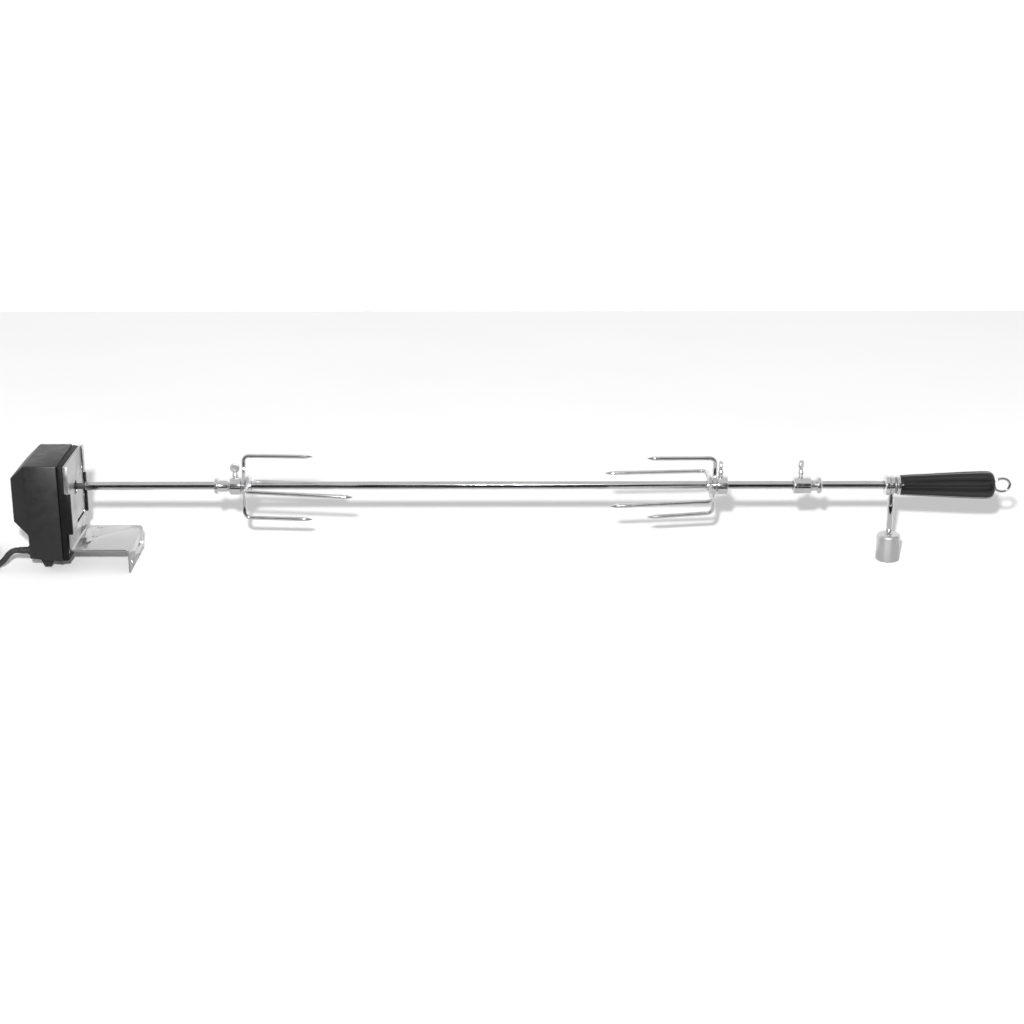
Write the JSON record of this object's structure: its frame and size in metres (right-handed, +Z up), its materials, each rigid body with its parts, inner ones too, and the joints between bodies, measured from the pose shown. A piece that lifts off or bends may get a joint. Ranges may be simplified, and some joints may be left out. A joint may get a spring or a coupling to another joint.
{
  "type": "rotisserie spit roaster",
  "caption": "Motor-driven rotisserie spit with sliding meat forks, support bushing, swinging counterweight, handle and a bracket that holds the motor on a grill.",
  "frame": {"origin": "on the surface that it stands on, below the middle of the length from the motor to the hanging loop, without its cord", "axes": "+X along the spit from the motor to the handle, +Z up, the casing's broad side with the cord towards -Y"},
  "size_m": [1.1729, 0.11, 0.1143],
  "materials": {
    "chrome": "polished",
    "stainless_sheet": "satin",
    "black_plastic": "fine grain",
    "gloss_black": "gloss",
    "gear_nylon": "smooth",
    "brass": "plain",
    "cord_rubber": "matt"
  },
  "bodies": {
    "motor_unit": {"motor_casing": "black_plastic", "casing_cover": "black_plastic", "cover_screw_1": "stainless_sheet", "cover_screw_2": "stainless_sheet", "cover_screw_3": "stainless_sheet", "cover_screw_4": "stainless_sheet", "mounting_rail_plate": "stainless_sheet", "motor_can": "stainless_sheet", "gear_plate": "stainless_sheet", "gear_pin": "stainless_sheet", "output_bush": "brass", "switch_guard": "black_plastic", "strain_relief": "cord_rubber", "bracket": "stainless_sheet", "power_cord": "cord_rubber", "cord_coil": "cord_rubber", "cord_tail": "cord_rubber", "plug_body": "cord_rubber", "plug_pin_1": "brass", "plug_pin_2": "brass"},
    "drive": {"output_wheel": "gear_nylon", "drive_socket": "stainless_sheet"},
    "idler": {"double_gear": "gear_nylon"},
    "pinion": {"motor_pinion": "brass"},
    "rocker": {"rocker_switch": "black_plastic"},
    "spit": {"spit_rod": "chrome", "end_collar": "chrome"},
    "left_fork": {"left_fork_hub": "chrome", "left_fork_short_prongs": "chrome", "left_fork_long_prongs": "chrome"},
    "left_screw": {"left_thumb_screw": "chrome"},
    "right_fork": {"right_fork_hub": "chrome", "right_fork_short_prongs": "chrome", "right_fork_long_prongs": "chrome"},
    "right_screw": {"right_thumb_screw": "chrome"},
    "bushing": {"support_bushing": "chrome"},
    "bushing_screw": {"bushing_thumb_screw": "chrome"},
    "arm": {"weight_arm": "chrome"},
    "weight": {"counterweight": "chrome"},
    "handle": {"handle_ferrule": "chrome", "clamp_washer": "stainless_sheet", "handle_grip": "gloss_black", "hanging_loop": "chrome"}
  },
  "joints": [
    {"name": "drive_spin", "type": "hinge", "parent": "motor_unit", "child": "drive", "pos_m": [-0.4635, 0, 0.081], "axis": [1, 0, 0], "continuous": true},
    {"name": "idler_spin", "type": "hinge", "parent": "motor_unit", "child": "idler", "pos_m": [-0.4735, 0, 0.0502], "axis": [1, 0, 0], "continuous": true},
    {"name": "pinion_spin", "type": "hinge", "parent": "motor_unit", "child": "pinion", "pos_m": [-0.4755, 0, 0.081], "axis": [1, 0, 0], "continuous": true},
    {"name": "rocker_tilt", "type": "hinge", "parent": "motor_unit", "child": "rocker", "pos_m": [-0.4794, -0.014, 0.0066], "axis": [1, 0, 0], "range_deg": [-14, 0]},
    {"name": "spit_pull_out", "type": "slide", "parent": "drive", "child": "spit", "axis": [1, 0, 0], "range_m": [0, 0.06]},
    {"name": "left_fork_slide", "type": "slide", "parent": "spit", "child": "left_fork", "axis": [1, 0, 0], "range_m": [-0.12, 0.12]},
    {"name": "left_screw_turn", "type": "hinge", "parent": "left_fork", "child": "left_screw", "pos_m": [-0.2867, 0, 0.1], "axis": [0, 0, 1], "range_deg": [0, 540]},
    {"name": "right_fork_slide", "type": "slide", "parent": "spit", "child": "right_fork", "axis": [1, 0, 0], "range_m": [-0.12, 0.03]},
    {"name": "right_screw_turn", "type": "hinge", "parent": "right_fork", "child": "right_screw", "pos_m": [0.2101, 0, 0.1], "axis": [0, 0, 1], "range_deg": [0, 540]},
    {"name": "bushing_slide", "type": "slide", "parent": "spit", "child": "bushing", "axis": [1, 0, 0], "range_m": [-0.03, 0.05]},
    {"name": "bushing_screw_turn", "type": "hinge", "parent": "bushing", "child": "bushing_screw", "pos_m": [0.2921, 0, 0.1], "axis": [0, 0, 1], "range_deg": [0, 540]},
    {"name": "arm_swing", "type": "hinge", "parent": "spit", "child": "arm", "pos_m": [0.38595, 0, 0.081], "axis": [1, 0, 0], "continuous": true},
    {"name": "weight_thread", "type": "hinge", "parent": "arm", "child": "weight", "pos_m": [0.38595, 0, 0.0135], "axis": [0, 0, 1], "range_deg": [0, 720]},
    {"name": "handle_thread", "type": "hinge", "parent": "spit", "child": "handle", "pos_m": [0.4415, 0, 0.081], "axis": [1, 0, 0], "range_deg": [0, 720]}
  ],
  "couplings": [
    {"joint": "idler_spin", "follows": "drive_spin", "ratio": -3},
    {"joint": "pinion_spin", "follows": "drive_spin", "ratio": 9}
  ]
}
